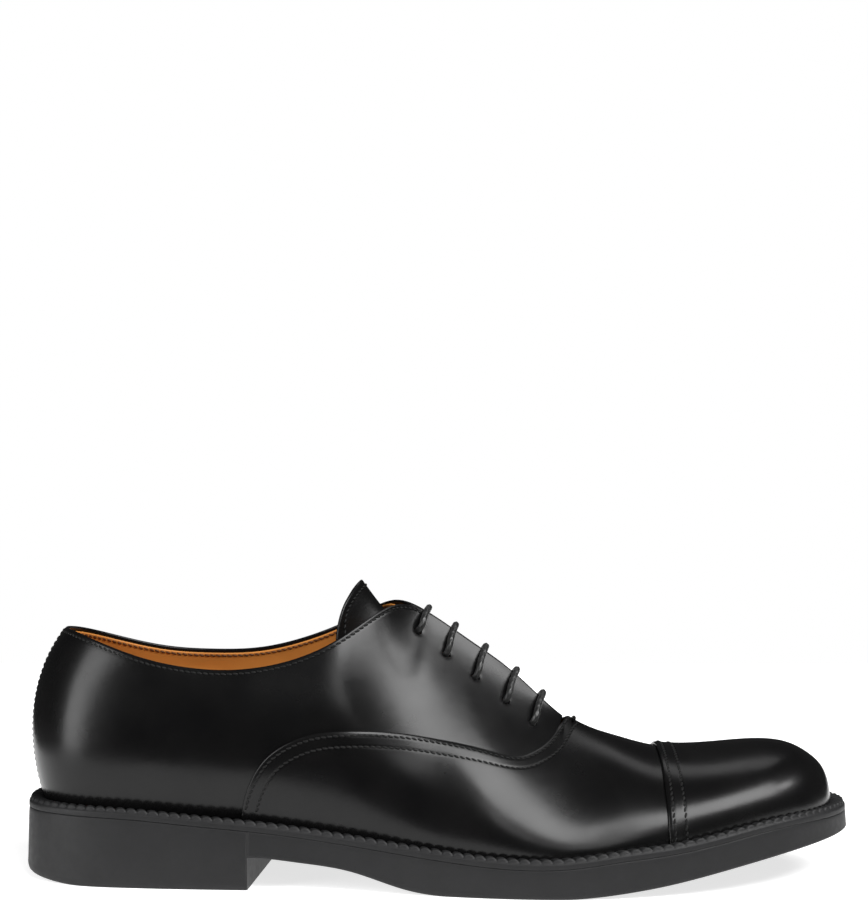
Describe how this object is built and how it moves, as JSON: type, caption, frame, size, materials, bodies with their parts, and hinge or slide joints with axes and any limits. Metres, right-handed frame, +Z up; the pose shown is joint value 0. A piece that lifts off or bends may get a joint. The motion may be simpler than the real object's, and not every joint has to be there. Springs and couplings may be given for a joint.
{
  "type": "leather oxford shoe",
  "caption": "Right-foot black leather oxford shoe: cap toe, closed lacing with straight bars, tan leather lining, storm welt and moulded rubber sole with heel.",
  "frame": {"origin": "on the ground under the middle of the shoe's bounding box", "axes": "+X towards the toe, +Y towards the inner (medial) side of the right foot, +Z up"},
  "size_m": [0.304, 0.1038, 0.1076],
  "materials": {
    "black_leather": "polished",
    "tan_lining": "smooth matte",
    "sole_rubber": "fine grain",
    "waxed_lace": "waxed braid",
    "lining_cloth": "plain weave",
    "stiffener": "matte",
    "cork": "granular",
    "insole_board": "fibrous",
    "spring_steel": "tempered",
    "aglet_plastic": "satin"
  },
  "bodies": {
    "rear": {"quarter_lateral": "black_leather", "quarter_medial": "black_leather", "vamp": "black_leather", "quarter_lining_lateral": "tan_lining", "quarter_lining_medial": "tan_lining", "vamp_lining": "tan_lining", "sock_lining": "tan_lining", "facing_tape_lateral": "lining_cloth", "facing_tape_medial": "lining_cloth", "vamp_interlining": "lining_cloth", "heel_counter": "stiffener", "outsole": "sole_rubber", "storm_welt": "sole_rubber", "cork_filler": "cork", "insole_board": "insole_board", "steel_shank": "spring_steel", "heel_nails": "spring_steel", "lace": "waxed_lace", "lace_tail_lateral": "waxed_lace", "lace_tail_medial": "waxed_lace", "throat_bartack": "waxed_lace", "aglet_lateral": "aglet_plastic", "aglet_medial": "aglet_plastic"},
    "forefoot": {"toe_cap": "black_leather", "toe_puff": "stiffener"},
    "tongue_body": {"tongue": "black_leather", "tongue_lining": "tan_lining"}
  },
  "joints": [
    {"name": "forefoot_flex", "type": "hinge", "parent": "rear", "child": "forefoot", "pos_m": [0.062, 0, 0.016], "axis": [0, -1, 0], "range_deg": [0, 25], "stiffness_Nm_per_rad": 4, "deforming": ["vamp", "vamp_lining", "vamp_interlining", "outsole", "storm_welt", "cork_filler", "insole_board", "sock_lining"]},
    {"name": "tongue_fold", "type": "hinge", "parent": "rear", "child": "tongue_body", "pos_m": [0.048, 0, 0.045], "axis": [0, -1, 0], "range_deg": [0, 8], "stiffness_Nm_per_rad": 0.6}
  ]
}
